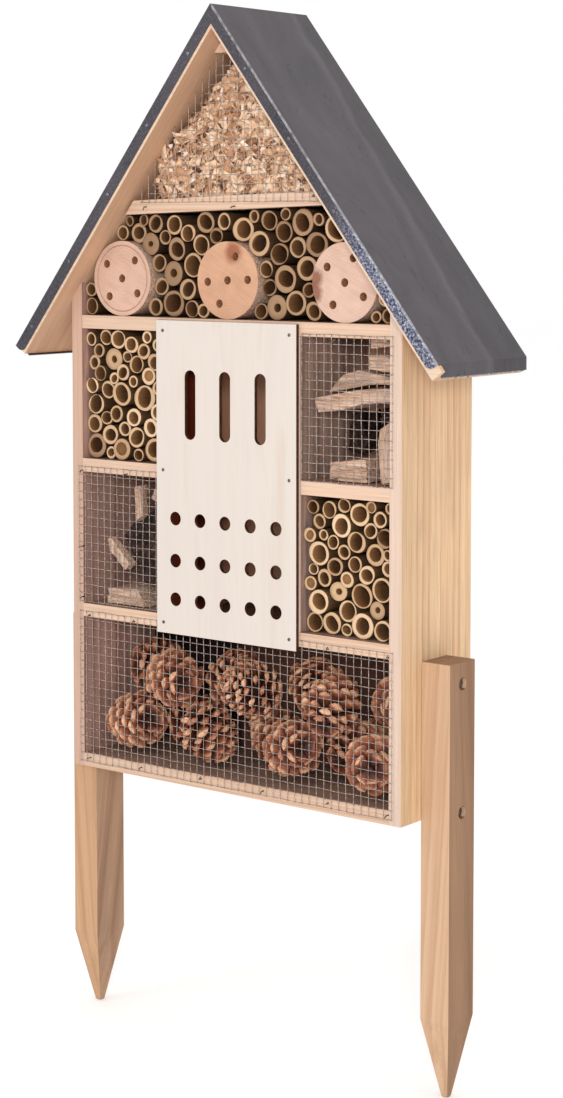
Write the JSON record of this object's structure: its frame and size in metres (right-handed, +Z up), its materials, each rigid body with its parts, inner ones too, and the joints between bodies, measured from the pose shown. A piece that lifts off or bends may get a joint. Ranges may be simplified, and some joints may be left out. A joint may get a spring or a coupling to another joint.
{
  "type": "insect hotel",
  "caption": "Gabled pine insect hotel on two ground stakes, with a folded sheet roof and bays of bamboo, drilled logs, bark, shavings and cones behind wire mesh.",
  "frame": {"origin": "on the ground plane through the stake tips, midway between them, in the middle of the roof's depth", "axes": "+Z up, +X to the right seen from the front, front faces -Y"},
  "size_m": [0.3846, 0.1106, 0.7549],
  "materials": {
    "pine": "sawn unfinished pine",
    "stake_wood": "planed unfinished pine",
    "roof_wood": "sawn unfinished pine",
    "back_panel": "thin brown board",
    "plywood": "pale plywood with scorched cut edges",
    "bamboo": "cut bamboo",
    "log_wood": "sawn end grain",
    "rough_wood": "split weathered wood",
    "bark": "dry bark",
    "shavings": "wood shavings",
    "cone": "dry pine cone",
    "roof_sheet": "weathered galvanised sheet",
    "wire": "galvanised welded wire",
    "fastener_steel": "zinc-plated steel"
  },
  "bodies": {
    "root": {"apex_block": "pine", "back_nails": "fastener_steel", "back_panel": "back_panel", "bark_board": "bark", "bark_chip": "bark", "bark_curl": "bark", "bark_flake": "bark", "bark_slab": "bark", "bottom_board": "pine", "bottom_mesh": "wire", "center_log": "log_wood", "center_mid_shelf": "pine", "front_panel": "plywood", "gable_mesh": "wire", "gable_shelf": "pine", "left_bamboo": "bamboo", "left_divider": "pine", "left_log": "log_wood", "left_lower_mesh": "wire", "left_mid_shelf": "pine", "left_roof_board": "roof_wood", "left_side_wall": "pine", "left_stake": "stake_wood", "lower_shelf": "pine", "mesh_nails": "fastener_steel", "panel_nails": "fastener_steel", "pine_cones": "cone", "right_bamboo": "bamboo", "right_divider": "pine", "right_log": "log_wood", "right_mid_shelf": "pine", "right_roof_board": "roof_wood", "right_side_wall": "pine", "right_stake": "stake_wood", "right_upper_mesh": "wire", "roof_nails": "fastener_steel", "roof_sheet": "roof_sheet", "stake_screws": "fastener_steel", "upper_bamboo": "bamboo", "upper_shelf": "pine", "wood_block": "rough_wood", "wood_lath": "rough_wood", "wood_offcut": "rough_wood", "wood_shard": "rough_wood", "wood_shavings": "shavings", "wood_slab": "rough_wood", "wood_stick": "rough_wood", "wood_strip": "rough_wood", "wood_wedge": "rough_wood"}
  },
  "joints": []
}
